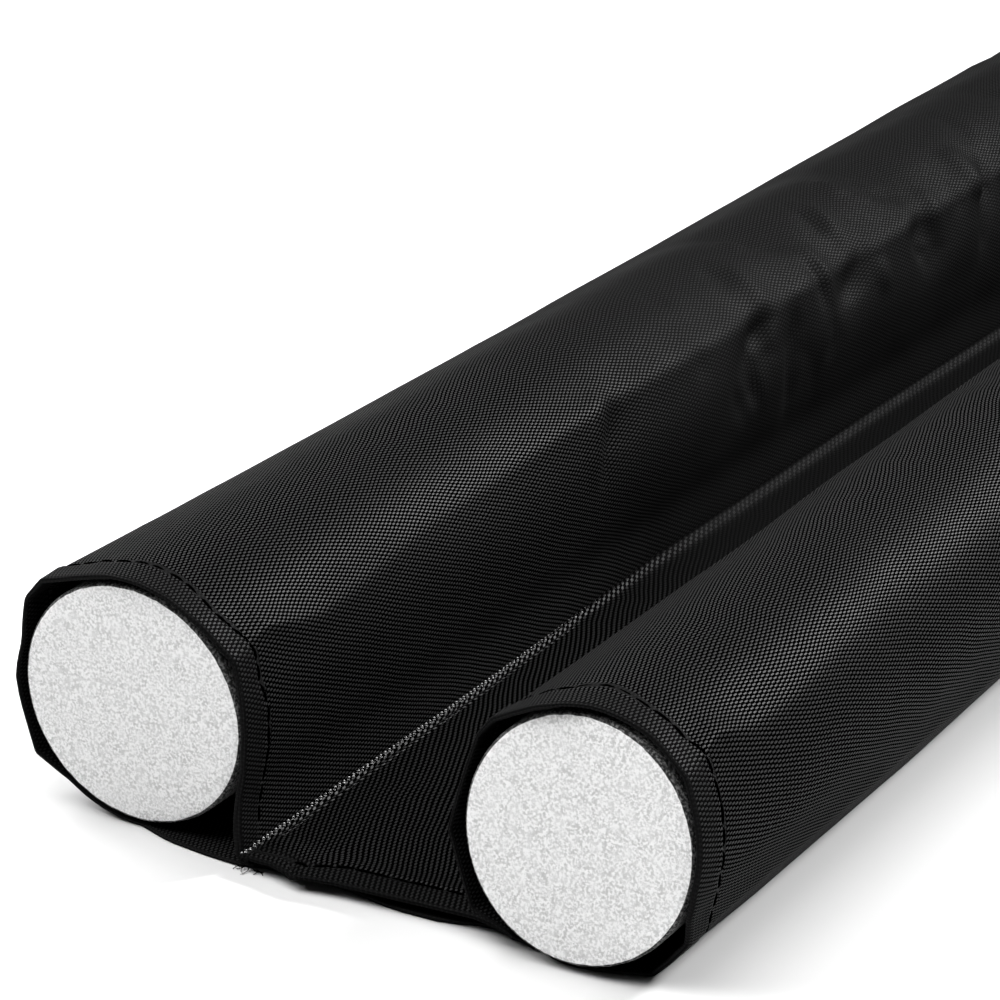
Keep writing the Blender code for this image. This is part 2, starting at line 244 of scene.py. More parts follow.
CREASE_SWELL = 0.6      # power of its swelling towards the middle
CREST_ROUND = 0.30      # how softly a crease turns at its crest, in mm
CREASE_SLOPE = (-0.25, 1.35)    # how its side eases out, in shares of its reach
CREASE_MARGIN = 12.0    # past a crease's ends, beyond which it does nothing
# The crease at the corner of the web's hem, from (x, distance) to (x, distance), half-width, height
WEB_CREASE = ((-9.2, 3.8), (-5.4, -0.3), 0.42, -0.42)
WEB_CREASE_START = 0.4  # share of the height at its start
UNSEEN_CREASES = 46     # plain ones past the photographed stretch, on each sleeve
UNSEEN_FROM = {"left": 300.0, "right": 160.0}
UNSEEN_SEED = {"left": 11, "right": 23}
UNSEEN_ANGLE = {"left": 20.0, "right": 60.0}    # where their spread starts
UNSEEN_SPREAD = 120.0
UNSEEN_END = 25.0       # from the far mouth
UNSEEN_LEAN = 9.0       # at most, along the sleeve, from the middle to an end
UNSEEN_SPAN = (14.0, 30.0)      # in degrees
UNSEEN_REACH = (3.4, 6.2)
UNSEEN_HEIGHTS = (-0.6, -0.45, 0.4)

# Stitches
HEM_STITCH_PITCH = 2.75
HEM_STITCH_LENGTH = 2.5
HEM_THREAD = 0.38       # its thickness
HEM_THREAD_LIFT = 0.02  # of its middle above the cloth, at a stitch's ends
HEM_THREAD_ARCH = 0.10  # and how much higher its middle rises
HEM_STITCH_START = 0.6  # from the first column
HEM_LENGTH_VARIES = (0.85, 1.1)
HEM_PITCH_VARIES = (0.92, 1.08)
HEM_SLANT = 0.18        # at most, either way
HEM_SHARES = (0.0, 0.2, 0.5, 0.8, 1.0)      # of a stitch's length, at its points
HEM_SEED = 31
# Columns without stitches before the first and after the last stitch of each hem
HEM_GAPS = {"left": (6, 2), "right": (4, 12), "web": (3, 2)}
SEAM_STITCH_PITCH = 1.02
SEAM_THREAD = 0.23
SEAM_ROWS = ((5.6, 1.1), (7.2, 1.2), (4.0, 1.2))    # first column and reach of each row of stitches
STITCHES_SINK = (40.0, 105.0)   # distances between which the stitches sink into the cloth
SUNK_BY = 0.20
DOUBLED_UNTIL = 7.0     # the seam's start is sewn twice
SEAM_START = 0.3
SEAM_END = 1.2          # from the far mouth
SEAM_PITCH_VARIES = (0.93, 1.07)
SEAM_SLANT = 0.22
SEAM_SLANT_VARIES = 0.08
SEAM_ARCH = 0.10        # how much higher a stitch's middle rises
SEAM_SHARES = (0.0, 0.33, 0.67, 1.0)        # of a stitch's reach, at its points
SEAM_SEED = 47

# Weave: spacing of the threads across and along each sleeve, and how the cross threads skew
WEAVE = {
    "left": (0.303, 0.704, 0.126),
    "right": (0.285, 0.80, 0.02),
    "web": (0.37, 0.80, 0.0),
}
# The left sleeve's weave and the web's are pulled smooth along most of their length: distances, what is left
WEAVE_SOFTENS = (75.0, 135.0)
SOFT_WEAVE = {"left": 0.28, "web": 0.15}
# The turned edge and the hem: distances over which each gives way to what follows, share of weave shown
EDGE_ENDS = (-0.1, 0.5)
EDGE_WEAVE = 0.3
HEM_ENDS = (3.6, 5.0)
HEM_WEAVE = 0.62
SLANTED_ROWS = 0.22     # how strongly the web's weave shows as slanted rows

# Camera, fitted to the photograph
CAMERA_PLACE = (244.83, -829.46, 229.95)
CAMERA_AZIMUTH = 30.249
CAMERA_ELEVATION = 21.341
CAMERA_LENS = 144.0
SENSOR = 36.0
CAMERA_SEES = (0.01, 20.0)      # nearest and farthest, in metres


def read_table(table, keys, column=1):
    """Straight-line values of a table's column, held level past its ends."""
    return np.interp(keys, [row[0] for row in table], [row[column] for row in table])


def ease(value, start, end):
    """0 up to start, easing to 1 at end."""
    share = np.clip((value - start) / (end - start), 0.0, 1.0)
    return share * share * (3.0 - 2.0 * share)


def hump(value, centre, spread, height=1.0):
    """A rounded hump of the height, at the centre."""
    return height * np.exp(-((value - centre) / spread) ** 2)


def waves(table, along, across):
    """Sum of sine waves: rows of height, turn along, turn across and start."""
    return sum(height * np.sin(a * along + b * across + start) for height, a, b, start in table)


def link(name, data):
    """A new object in the scene."""
    piece = bpy.data.objects.new(name, data)
    bpy.context.scene.collection.objects.link(piece)
    return piece


# --- The frame ---

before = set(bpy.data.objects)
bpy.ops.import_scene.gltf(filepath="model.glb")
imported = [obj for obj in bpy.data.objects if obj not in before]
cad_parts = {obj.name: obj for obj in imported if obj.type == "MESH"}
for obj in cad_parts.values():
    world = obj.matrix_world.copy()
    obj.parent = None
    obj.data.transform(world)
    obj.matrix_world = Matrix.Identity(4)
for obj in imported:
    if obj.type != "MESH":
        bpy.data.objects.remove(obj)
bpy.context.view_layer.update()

CORE_AXIS_X = {}
CORE_RADIUS = {}
TAUT_RADIUS = {}
for side in SIDES:
    low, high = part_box(side + "_core")
    CORE_AXIS_X[side] = (low.x + high.x) / 2 / MM
    CORE_RADIUS[side] = (high.x - low.x) / 2 / MM
    TAUT_RADIUS[side] = (low.z + high.z) / 2 / MM
NEAR_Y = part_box("left_core")[1].y / MM - CORE_LENGTH


# --- Shape of the cloth ---

# Directions in which a section's band is held; each bounds the points that face it by at least this cosine
DIRECTIONS = np.radians(np.arange(-180.0, 541.0, 1.5))
LEAST_FACING = 0.07
# Angles to either side over which a bend is softened, with their weights
BEND_SOFTNESS = ((-3.0, 0.14), (-1.5, 0.22), (0.0, 0.28), (1.5, 0.22), (3.0, 0.14))
# Share of that softening, by distance
CORNER_SOFTNESS = ((0, 0.25), (10, 0.3), (22, 0.6), (40, 1.0), (860, 1.0), (890, 0.5), (900, 0.4))


def band_radius(angles, taut, corners, softness):
    """Distance from the axis to a band drawn tight round a circle and the corners outside it."""
    support = np.full(DIRECTIONS.shape, taut)
    for at, far in corners:
        support = np.maximum(support, far * np.cos(DIRECTIONS - math.radians(at)))
    total = np.zeros(angles.shape)
    for offset, weight in BEND_SOFTNESS:
        facing = np.cos(np.radians(angles + offset * softness)[:, None] - DIRECTIONS[None, :])
        reach = np.where(facing > LEAST_FACING, support / np.maximum(facing, LEAST_FACING), np.inf)
        total += weight * reach.min(axis=1)
    return total


def ring_radius(side, distance, angles):
    """Radius of a sleeve's outer face at the angles of one section, without its creases and hem."""
    taut = TAUT_RADIUS[side]
    at_mouth = 1.0 - ease(distance, 0.0, MOUTH_FADE_END)
    share = read_table(SLACK[side], distance)
    crown = read_table(SLACK[side], distance, 2)
    corners = []
    for at, mouth, body in CORNERS[side]:
        corners.append((at, taut + body * share + (mouth - body * share) * at_mouth))
    corners.append((read_table(CHEEK[side], distance), taut + read_table(CHEEK[side], distance, 2)))
    if side == "left":
        reach = read_table(FOOT_REACH, distance)
        corners.append((math.degrees(math.atan2(-taut, reach)), math.hypot(taut, reach)))
    radius = band_radius(angles, taut, corners, read_table(CORNER_SOFTNESS, distance))
    if side == "left":
        radius = radius - hump(angles, *WALL_HOLLOW) - at_mouth * hump(angles, *SIDE_HOLLOW)
        radius = radius + hump(angles, SHOULDER_ANGLE, SHOULDER_SPREAD, read_table(SHOULDER, distance))
    loose = crown * (1.0 - ease(np.abs(angles - CROWN_ANGLE), 0.0, CROWN_SPREAD))
    if side == "left":
        for at, centre, half_length, half_width, lean, depth in FOLDS:
            across = (distance - at - lean * (angles - centre)) / half_width
            along = (angles - centre) / half_length
            loose = loose - depth * min(crown, 1.0) * np.exp(-across * across - along * along)
    return radius + np.maximum(loose, -DEEPEST_FOLD * CLOTH)


def ring_points(side, distance, angles):
    """The same face as u and z, held above the floor."""
    radius = ring_radius(side, distance, angles)
    turns = np.radians(angles)
    return radius * np.cos(turns), np.maximum(TAUT_RADIUS[side] + radius * np.sin(turns), 0.0)


CORNER_COLUMNS = (-1.6, -0.5, 0.5, 1.6)     # angles from a corner to the columns at it


def columns_between(stops, counts, extras):
    """Places of a ring's columns: an even run between each pair of stops, and close ones at the corners."""
    runs = []
    for (a, _), (b, _), count in zip(stops, stops[1:], counts):
        runs.append(np.linspace(a, b, count, endpoint=False))
    at_corners = []
    in_order = np.array(sorted(stops, key=lambda stop: stop[1]))
    for angle in extras:
        for offset in CORNER_COLUMNS:
            at_corners.append(np.interp(angle + offset, in_order[:, 1], in_order[:, 0]))
    return np.unique(np.round(np.concatenate(runs + [at_corners, [1.0]]), 5))


# Where a ring's columns lie: share of the columns, angle
LEFT_STOPS = (
    (0.0, 315.0), (0.05, 285.0), (0.15, 235.0), (0.30, 150.0), (0.45, 100.0), (0.95, -30.0), (1.0, -43.0),
)
# The right sleeve's run from where the web's top meets it round to its underside
RIGHT_STOPS = ((0.0, -61.6), (0.12, -20.0), (0.28, 50.0), (0.84, 225.0), (0.95, 270.0), (1.0, 288.8))
# Columns from each stop to the next, then the angles of the corners that get close ones
LEFT_RING = columns_between(LEFT_STOPS, (6, 10, 18, 14, 54, 8), (213.5, 181.0, 145.0, 132.5, 34.0))
RIGHT_RING = columns_between(RIGHT_STOPS, (9, 17, 50, 10, 5), (-41.0, -9.0, 33.0, 44.0, 137.0, 217.0, 240.5))


def left_ring_angles(distance, parameter):
    """Angles of the left sleeve's columns, from the bottom of its foot round to the top of its foot."""
    reach = read_table(FOOT_REACH, distance)
    taut = TAUT_RADIUS["left"]
    top = math.degrees(math.atan2(LOWER_TOP + FOOT_BULK - taut, reach))
    bottom = math.degrees(math.atan2(-taut, reach)) + 360.0
    return read_table([(0.0, bottom), *LEFT_STOPS[1:-1], (1.0, top)], parameter)


LEFT_WEB = np.linspace(0.0, 1.0, 16)
WALL_COLUMNS = 14       # the left ring's last ones, on its wall towards the web
TUCK = ((0.25, 1.08), (0.9, 0.95), (2.0, 0.92))         # past the foot: u, z
UNDER_TUCK = ((6.4, 0.15), (7.6, 0.6), (9.5, 0.8))      # past the right sleeve's underside: u, z
# The folded edge at the seam: x from its edge and z near the mouth, then both where it is a soft, broad roll
RIDGE = (
    (1.5, 1.33, 1.7, 1.36), (0.9, 1.32, 1.0, 1.35), (0.25, 1.38, 0.3, 1.45), (0.03, 1.60, 0.02, 1.8),
    (0.0, 1.85, 0.0, 2.2), (0.05, 2.08, 0.10, 2.6), (0.18, 2.26, 0.32, 2.85), (0.36, 2.32, 0.62, 2.92),
    (0.55, 2.26, 1.0, 2.82), (0.72, 2.02, 1.35, 2.5), (0.95, 1.72, 1.75, 2.1), (1.3, 1.74, 2.2, 1.88),
)
RIDGE_BROADENS = (60.0, 130.0)
RIDGE_END = (1.9, 2.9)  # where the web goes on behind it, near the mouth and where it is broad
# Shares of the web's width at the columns, closest where it shows between the sleeves
RIGHT_WEB = np.concatenate([
    np.linspace(0.0, 0.12, 4), np.linspace(0.15, 0.34, 17), np.linspace(0.38, 1.0, 15),
])


def left_section(distance):
    """The left strip's x and z, then its ring's angles: lower web layer, ring, tuck at the seam."""
    axis = CORE_AXIS_X["left"]
    foot = axis + read_table(FOOT_REACH, distance)
    web_x = LOWER_EDGE_X + (foot + WEB_PAST_FOOT - LOWER_EDGE_X) * LEFT_WEB
    angles = left_ring_angles(distance, LEFT_RING)
    ring_u, ring_z = ring_points("left", distance, angles)
    ring_x = axis + ring_u
    x = np.concatenate([web_x, ring_x, [ring_x[-1] + u for u, _ in TUCK]])
    z = np.concatenate([np.zeros(len(web_x)), ring_z, [up for _, up in TUCK]])
    return x, z, angles


def right_section(distance):
    """The right strip's, likewise: folded edge, upper web layer, ring, tuck on the floor."""
    wall = left_ring_angles(distance, LEFT_RING)[-WALL_COLUMNS:]
    wall_u, wall_z = ring_points("left", distance, wall)
    edge = CORE_AXIS_X["left"] + wall_u[wall_z < RIDGE_TOP].max() + RIDGE_CLEARANCE
    hem = 1.0 - ease(distance, *WEB_HEM_FADES) * ease(CORE_LENGTH - distance, *WEB_HEM_FADES)
    web_top = WEB_REST + (UPPER_TOP - WEB_REST) * hem
    broad = float(ease(distance, *RIDGE_BROADENS))
    ridge = np.array(RIDGE)
    ridge_x = edge + ridge[:, 0] + (ridge[:, 2] - ridge[:, 0]) * broad
    ridge_z = ridge[:, 1] + (ridge[:, 3] - ridge[:, 1]) * broad
    ridge_z[-2:] += (web_top - WEB_REST) * np.array(RIDGE_TAIL_LIFTS)
    ridge_end = RIDGE_END[0] + (RIDGE_END[1] - RIDGE_END[0]) * broad
    axis = CORE_AXIS_X["right"]
    angles = read_table(RIGHT_STOPS, RIGHT_RING)
    ring_u, ring_z = ring_points("right", distance, angles)
    ring_x = axis - ring_u
    share = RIGHT_WEB[:-1]
    web_x = edge + ridge_end + (ring_x[0] - edge - ridge_end) * share
    web_z = web_top + waves(WEB_WAVES, distance, share) * (1.0 - hem) * np.sin(math.pi * share)
    web_z = web_z + (ring_z[0] - web_top) * ease(share, *WEB_RISES)
    x = np.concatenate([ridge_x, web_x, ring_x, [axis - u for u, _ in UNDER_TUCK]])
    z = np.concatenate([ridge_z, web_z, ring_z, [up for _, up in UNDER_TUCK]])
    return x, z, angles


def unseen_creases(side):
    """Soft creases for the stretch that the photograph cuts off."""
    chance = random.Random(UNSEEN_SEED[side])
    made = []
    for _ in range(UNSEEN_CREASES):
        at = chance.uniform(UNSEEN_FROM[side], CORE_LENGTH - UNSEEN_END)
        angle = chance.uniform(UNSEEN_ANGLE[side], UNSEEN_ANGLE[side] + UNSEEN_SPREAD)
        lean = chance.uniform(-UNSEEN_LEAN, UNSEEN_LEAN)
        span = chance.uniform(*UNSEEN_SPAN)
        points = ((at - lean, angle - span / 2), (at, angle), (at + lean, angle + span / 2))
        made.append((points, chance.uniform(*UNSEEN_REACH), chance.choice(UNSEEN_HEIGHTS)))
    return made


def crease_relief(side, distances, angles):
    """Height of the creases at each distance and angle."""
    around = math.radians(1.0) * TAUT_RADIUS[side]
    total = np.zeros(distances.shape)
    for points, reach, height in list(CREASES[side]) + unseen_creases(side):
        marks = [(at, angle * around) for at, angle in points]
        lengths = [math.dist(a, b) for a, b in zip(marks, marks[1:])]
        whole = sum(lengths)
        start = min(mark[0] for mark in marks) - CREASE_MARGIN
        end = max(mark[0] for mark in marks) + CREASE_MARGIN
        near = (distances > start) & (distances < end)
        d = distances[near]
        a = angles[near] * around
        best = np.full(d.shape, np.inf)
        place = np.zeros(d.shape)
        done = 0.0
        for (d0, a0), (d1, a1), length in zip(marks, marks[1:], lengths):
            share = ((d - d0) * (d1 - d0) + (a - a0) * (a1 - a0)) / (length * length)
            held = np.clip(share, 0.0, 1.0)
            gap = np.hypot(d - d0 - held * (d1 - d0), a - a0 - held * (a1 - a0))
            nearer = gap < best
            best = np.where(nearer, gap, best)
            place = np.where(nearer, (done + held * length) / whole, place)
            done += length
        taper = np.sin(math.pi * np.clip(place, *CREASE_ENDS)) ** CREASE_SWELL
        steep = 1.0 - (np.hypot(best, CREST_ROUND) - CREST_ROUND) / (reach * (0.5 + 0.5 * taper))
        total[near] += height * taper * ease(steep, *CREASE_SLOPE) * (steep > CREASE_SLOPE[0])
    return total


HEM_ROWS_END = 12.0     # close rows run this far from the near mouth
HEM_ROW_STEP = 0.36
FIRST_ROW = 0.5         # the first row on the outer face
FAR_ROWS = (HEM_ROWS_END, 8.0, 6.6, 5.8, 5.2, 4.6, 3.0, 1.5, FIRST_ROW)     # from the far mouth


def rows_of(near_step, seen_from, seen_step, seen_until, far_step):
    """Distances of the rows between the two hems' edges."""
    runs = (
        (FIRST_ROW, HEM_ROWS_END, HEM_ROW_STEP),
        (HEM_ROWS_END, seen_from, near_step),
        (seen_from, seen_until, seen_step),
        (seen_until, CORE_LENGTH - HEM_ROWS_END, far_step),
    )
    last = [CORE_LENGTH - value for value in FAR_ROWS]
    return np.concatenate([np.arange(*run) for run in runs] + [last])


ROWS = {
    "left": rows_of(2.0, 88.0, 1.3, 292.0, 8.5),
    "right": rows_of(1.6, 88.0, 1.6, 150.0, 8.0),
}
# Distance from the rim, and share of the hem's thickness, down its double edge
EDGE_ROWS = (
    (0.10, 0.05), (0.0, 0.16), (0.0, 0.30), (HEM_GROOVE, 0.38), (0.0, 0.46), (0.0, 0.86), (0.12, 0.97),
)
EDGE_LENGTH = 0.9       # along the cloth, down that edge
INNER_ROWS = (0.08, 0.2, 0.45, 0.7, 1.0)    # shares of the turned-in width
MEASURED_AT = 60.0      # distance at which the columns are measured along the section


class Strip:
    """One panel of cloth: its grid of points and the coordinates along its threads, in millimetres."""

    def __init__(self, side, section, ring_slice, soft_columns):
        """The section gives x, z and the ring's angles; the rest says which columns are which."""
        self.distances = ROWS[side]
        sections = [section(distance) for distance in self.distances]
        x = np.array([part[0] for part in sections])
        z = np.array([part[1] for part in sections])
        self.columns = x.shape[1]
        ring = np.zeros(self.columns, bool)
        ring[ring_slice] = True
        angles = np.zeros(x.shape)
        angles[:, ring] = np.array([part[2] for part in sections])
        s = np.repeat(self.distances[:, None], self.columns, axis=1)

        front = np.where(ring, read_table(RIM[side], angles[0]), read_table(WEB_FRONT[side], x[0]))
        front[ring_slice.stop:] = front[ring_slice.stop - 1]
        ring_stitch = read_table(RING_STITCH[side], angles[0])
        self.stitch = np.where(ring, ring_stitch, read_table(WEB_STITCH[side], x[0]))

        nx, nz = self.normals(x, z)
        relief = self.relief(side, s, x, z, angles, ring)
        x, z = self.clear_of_core(side, x + nx * relief, np.maximum(z + nz * relief, 0.0), ring)
        y = NEAR_Y + s + front[None, :] * (1.0 - ease(s, *RIM_FADE))
        measured = int(np.argmin(np.abs(self.distances - MEASURED_AT)))
        steps = np.hypot(np.diff(x[measured]), np.diff(z[measured]))
        self.across = np.concatenate([[0.0], np.cumsum(steps)])

        # The hems turn inwards round an edge at each mouth
        thick = np.where(ring, read_table(HEM_THICKNESS[side], angles[0]), WEB_HEM_THICKNESS)
        thick = np.where(soft_columns, SOFT_HEM_THICKNESS, thick)
        nx, nz = self.normals(x, z)
        near_rows = self.turned_rows(self.stitch)[::-1]
        far_rows = self.turned_rows(np.full(self.columns, FAR_STITCH))
        top = []
        for from_rim, share in near_rows:
            top.append(self.set_in(x[0], z[0], nx[0], nz[0], thick * share, NEAR_Y + from_rim + front))
        bottom = []
        for from_rim, share in far_rows:
            place = NEAR_Y + CORE_LENGTH - from_rim
            bottom.append(self.set_in(x[-1], z[-1], nx[-1], nz[-1], thick * share, place))
        self.points = np.concatenate([np.array(top), np.stack([x, y, z], axis=2), np.array(bottom)])
        self.first = len(top)
        before = [-self.turned_length(*row) for row in near_rows]
        after = [CORE_LENGTH + self.turned_length(*row) for row in far_rows]
        self.along = np.concatenate([before, self.distances, after])

    def relief(self, side, s, x, z, angles, ring):
        """Height of the hems, grooves, puckers, creases and unevenness above the bare section."""
        stitch = self.stitch[None, :]
        from_far = CORE_LENGTH - s
        hem_near = 1.0 - ease(s, stitch + HEM_STEP[0], stitch + HEM_STEP[1])
        hem_far = 1.0 - ease(from_far, FAR_STITCH + HEM_STEP[0], FAR_STITCH + HEM_STEP[1])
        groove = hump(s, stitch, GROOVE_WIDTH) + hump(from_far, FAR_STITCH, GROOVE_WIDTH)
        pucker = hump(s, stitch, PUCKER_WIDTH) * waves(PUCKER_WAVES, np.arange(self.columns), 0.0)
        lifted = np.clip(z / HEM_LIFT, 0.0, 1.0)
        slow = waves(SLOW_WAVES, s, np.radians(angles)) * ease(s, *SLOW_WAVES_GROW)
        on_ring = HEM_PROUD * (hem_near + hem_far) * lifted
        on_ring = on_ring + crease_relief(side, s, angles) + slow * lifted
        on_web = self.web_crease(x, s) if side == "right" else 0.0
        sunk = GROOVE_DEPTH * groove * np.where(ring, lifted, WEB_GROOVE)
        return np.where(ring, on_ring, on_web) - sunk + pucker * lifted

    @staticmethod
    def clear_of_core(side, x, z, ring):
        """The section, with its ring pushed out where a crease would reach the core."""
        axis_x, axis_z = CORE_AXIS_X[side], TAUT_RADIUS[side]
        least = CORE_RADIUS[side] + LEAST_SLACK
        reach = np.maximum(np.hypot(x - axis_x, z - axis_z), TINY)
        push = np.where(ring & (reach < least), least / reach, 1.0)
        return axis_x + (x - axis_x) * push, axis_z + (z - axis_z) * push

    @staticmethod
    def turned_rows(stitch):
        """Rows of the turned-in layer: how far from the rim, and share of the hem's thickness."""
        rows = [(np.full(stitch.shape, from_rim), share) for from_rim, share in EDGE_ROWS]
        width = stitch + HEM_MARGIN - FIRST_ROW
        return rows + [(FIRST_ROW + share * width, 1.0) for share in INNER_ROWS]

    @staticmethod
    def turned_length(from_rim, share):
        """Length along the cloth from the rim to a row of the turned-in layer."""
        return share if share < 1.0 else EDGE_LENGTH + from_rim.mean()

    @staticmethod
    def set_in(x, z, nx, nz, depth, y):
        """A section, set in by the depth."""
        return np.stack([x - nx * depth, y, np.maximum(z - nz * depth, 0.0)], axis=1)

    @staticmethod
    def normals(x, z):
        """Outward normals of the sections, which run clockwise as seen from the near end."""
        dx = np.gradient(x, axis=1)
        dz = np.gradient(z, axis=1)
        size = np.maximum(np.hypot(dx, dz), TINY)
        return -dz / size, dx / size

    @staticmethod
    def web_crease(x, s):
        """Height of the crease at the corner of the web's hem."""
        (x0, s0), (x1, s1), half_width, height = WEB_CREASE
        length = math.hypot(x1 - x0, s1 - s0)
        share = np.clip(((x - x0) * (x1 - x0) + (s - s0) * (s1 - s0)) / length ** 2, 0.0, 1.0)
        gap = np.hypot(x - x0 - share * (x1 - x0), s - s0 - share * (s1 - s0))
        return (WEB_CREASE_START + (1.0 - WEB_CREASE_START) * share) * hump(gap, 0.0, half_width, height)

    def at(self, distance, column):
        """Point on the outer face at a distance and a column, both of which may lie between grid lines."""
        row = np.interp(distance, self.distances, np.arange(len(self.distances))) + self.first
        r0, c0 = int(row), int(column)
        r1, c1 = min(r0 + 1, len(self.points) - 1), min(c0 + 1, self.columns - 1)
        fr, fc = row - r0, column - c0
        near = self.points[r0, c0] * (1 - fc) + self.points[r0, c1] * fc
        far = self.points[r1, c0] * (1 - fc) + self.points[r1, c1] * fc
        return near * (1 - fr) + far * fr

    def above(self, distance, column, height):
        """Point at a height above the outer face."""
        after = self.at(distance, min(column + 0.5, self.columns - 1))
        across = after - self.at(distance, max(column - 0.5, 0))
        along = self.at(distance + 0.5, column) - self.at(distance - 0.5, column)
        normal = np.cross(across, along)
        return self.at(distance, column) + normal / np.linalg.norm(normal) * height


def build_strip(strip, name, materials, last_web_column=-1):
    """The strip's mesh: a grid with its thread coordinates as its UV map, and the cloth's thickness."""
    rows, columns = strip.points.shape[:2]
    mesh = bpy.data.meshes.new(name)
    index = np.arange(rows * columns).reshape(rows, columns)
    faces = np.stack([index[:-1, :-1], index[:-1, 1:], index[1:, 1:], index[1:, :-1]], axis=-1)
    mesh.from_pydata((strip.points.reshape(-1, 3) * MM).tolist(), [], faces.reshape(-1, 4).tolist())
    across = np.repeat(strip.across[None, :], rows, axis=0).reshape(-1)
    along = np.repeat(strip.along[:, None], columns, axis=1).reshape(-1)
    uv = mesh.uv_layers.new(name="Threads")
    corner = np.array([loop.vertex_index for loop in mesh.loops])
    threads = np.stack([across[corner], along[corner]], axis=1)
    uv.data.foreach_set("uv", threads.astype(np.float32).reshape(-1))
    for material in materials:
        mesh.materials.append(material)
    column = np.tile(np.arange(columns - 1), rows - 1)
    mesh.polygons.foreach_set("material_index", (column <= last_web_column).astype(np.int32))
    mesh.shade_smooth()
    piece = link(name, mesh)
    solid = piece.modifiers.new("Thickness", "SOLIDIFY")
    solid.thickness = CLOTH * MM
    solid.offset = -1.0
    return piece


# --- Foam cores ---

CORE_FACE = {"left": 0.0, "right": -3.8}        # Y of the near face, from the left core's in the part
CORE_CUT_TILT = {"left": -2.3, "right": 7.7}    # how its cut leans, in degrees
CORE_SIDES = 144
CAP_RINGS = 22
FACE_MARGIN = 0.08      # of the pale face, inside the core's radius
# The rounded edge round each cut face, painted dark grey as shade like the core's side: how far it stands out
# past the core's radius, and back from its face
SHADED_EDGE_PROFILE = ((0.0, 0.02), (0.10, 0.10), (0.22, 0.30), (0.30, 0.55), (0.33, 0.9))
SMOOTH_RINGS = 5        # round the middle of a face, without roughness
FOAM_ROUGHNESS = 0.035
FOAM_SHARP_ANGLE = 50.0
CORE_SEED = {"left": 5, "right": 9}
CORE_RINGS = (0.25, 0.5, 0.75)      # shares of its length
CORE_END_RINGS = 25.0   # from each face


def join_rings(shape, a, b):
    """Faces between two rings of vertices."""
    count = len(a)
    made = []
    for k in range(count):
        after = (k + 1) % count
        made.append(shape.faces.new((a[k], a[after], b[after], b[k])))
    return made


def finish_piece(shape, name, materials):
    """The faces made so far, as a smooth object."""
    bmesh.ops.recalc_face_normals(shape, faces=shape.faces)
    mesh = bpy.data.meshes.new(name)
    shape.to_mesh(mesh)
    shape.free()
    for material in materials:
        mesh.materials.append(material)
    mesh.shade_smooth()
    return link(name, mesh)


def build_core(side, materials):
    """A foam rod: rings from the middle of its near face, along it, to the middle of its far face."""
    radius = CORE_RADIUS[side]
    chance = random.Random(CORE_SEED[side])
    inner = radius - FACE_MARGIN
    cap = [inner * (ring + 1) / CAP_RINGS for ring in range(CAP_RINGS)]
    edge = [(radius + out, back) for out, back in SHADED_EDGE_PROFILE]
    outer = edge[-1][0]
    profile = [(r, 0.0) for r in cap] + edge + [(outer, CORE_END_RINGS)]
    profile += [(outer, CORE_LENGTH * share) for share in CORE_RINGS]
    profile += [(outer, CORE_LENGTH - CORE_END_RINGS)]
    profile += [(r, CORE_LENGTH - back) for r, back in edge[::-1]]
    profile += [(r, CORE_LENGTH) for r in cap[::-1]]
    slope = math.tan(math.radians(CORE_CUT_TILT[side]))
    shape = bmesh.new()
    axis, height = CORE_AXIS_X[side], TAUT_RADIUS[side]

    def vertex(r, turn, back):
        """A point at a radius and turn, so far back from the near face."""
        rough = 0.0
        if r > inner * SMOOTH_RINGS / CAP_RINGS:
            rough = chance.uniform(-FOAM_ROUGHNESS, FOAM_ROUGHNESS)
        z = r * math.sin(turn)
        lean = (CORE_FACE[side] + slope * z) * (1.0 - min(back / CORE_LENGTH, 1.0))
        place = Vector((axis + r * math.cos(turn), NEAR_Y + back + lean + rough, height + z + rough))
        return shape.verts.new(place * MM)

    rings = []
    for r, back in profile:
        rings.append([vertex(r, 2 * math.pi * k / CORE_SIDES, back) for k in range(CORE_SIDES)])
    for place, (a, b) in enumerate(zip(rings, rings[1:])):
        # The rounded edges and the side, which lie in the sleeve's shade, get the dark grey painted shade
        shaded_side = CAP_RINGS - 1 <= place < len(rings) - CAP_RINGS
        for face in join_rings(shape, a, b):
            face.material_index = 1 if shaded_side else 0
    for ring, back in ((rings[0], 0.0), (rings[-1], CORE_LENGTH)):
        middle = vertex(0.0, 0.0, back)
        for k in range(CORE_SIDES):
            shape.faces.new((middle, ring[k], ring[(k + 1) % CORE_SIDES]))
    piece = finish_piece(shape, side + "_foam_core", materials)
    piece.data.set_sharp_from_angle(angle=math.radians(FOAM_SHARP_ANGLE))
    return piece


# --- Threads ---

THREAD_END = 0.45       # share of a thread's radius at its ends
THREAD_SIDES = 6
FINE_THREAD_SIDES = 5   # of the seam's stitches and the frays


def add_thread(shape, points, radius, sides=THREAD_SIDES):
    """A round thread through the points, with pointed ends."""
    points = [Vector(point) for point in points]
    rings = []
    for index, point in enumerate(points):
        before = points[max(index - 1, 0)]
        after = points[min(index + 1, len(points) - 1)]
        along = (after - before).normalized()
        side = along.orthogonal().normalized()
        other = along.cross(side)
        size = radius * (THREAD_END if index in (0, len(points) - 1) else 1.0)
        ring = []
        for k in range(sides):
            turn = 2 * math.pi * k / sides
            place = point + (side * math.cos(turn) + other * math.sin(turn)) * size
            ring.append(shape.verts.new(place * MM))
        rings.append(ring)
    for a, b in zip(rings, rings[1:]):
        join_rings(shape, a, b)
    shape.faces.new(rings[0][::-1])
    shape.faces.new(rings[-1])


